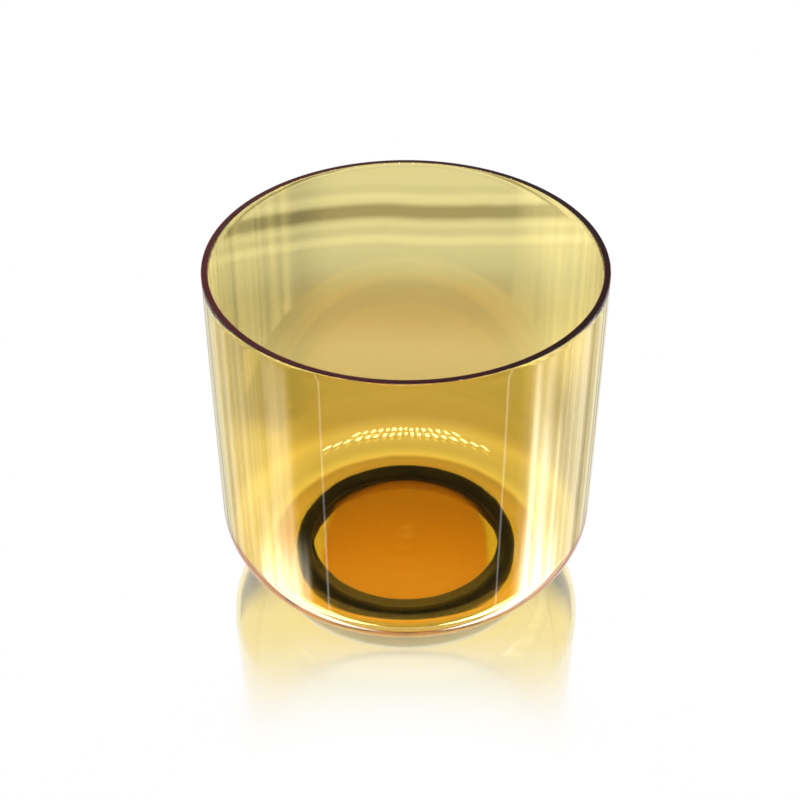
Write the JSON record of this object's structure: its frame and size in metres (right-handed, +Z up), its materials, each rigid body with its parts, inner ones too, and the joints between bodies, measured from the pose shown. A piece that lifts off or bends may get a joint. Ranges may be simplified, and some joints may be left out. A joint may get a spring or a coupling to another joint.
{
  "type": "singing bowl",
  "caption": "Straight-sided clear amber quartz singing bowl with a rounded heel and open mouth, resting on a loose black rubber ring.",
  "frame": {"origin": "on the bowl's axis, in the plane that the rubber ring rests on", "axes": "+Z up along the bowl's axis, out of the mouth; the bowl is round, so +X and +Y are free"},
  "size_m": [0.2052, 0.2052, 0.1982],
  "materials": {
    "amber_quartz": "clear polished fused quartz tinted amber all through, with a ground and polished rim",
    "black_rubber": "smooth moulded black rubber, slightly glossy"
  },
  "bodies": {
    "ring": {"rubber_o_ring": "black_rubber"},
    "bowl": {"quartz_bowl": "amber_quartz"}
  },
  "joints": [
    {"name": "bowl_lift", "type": "slide", "parent": "ring", "child": "bowl", "axis": [0, 0, 1], "range_m": [0, 0.06]}
  ]
}
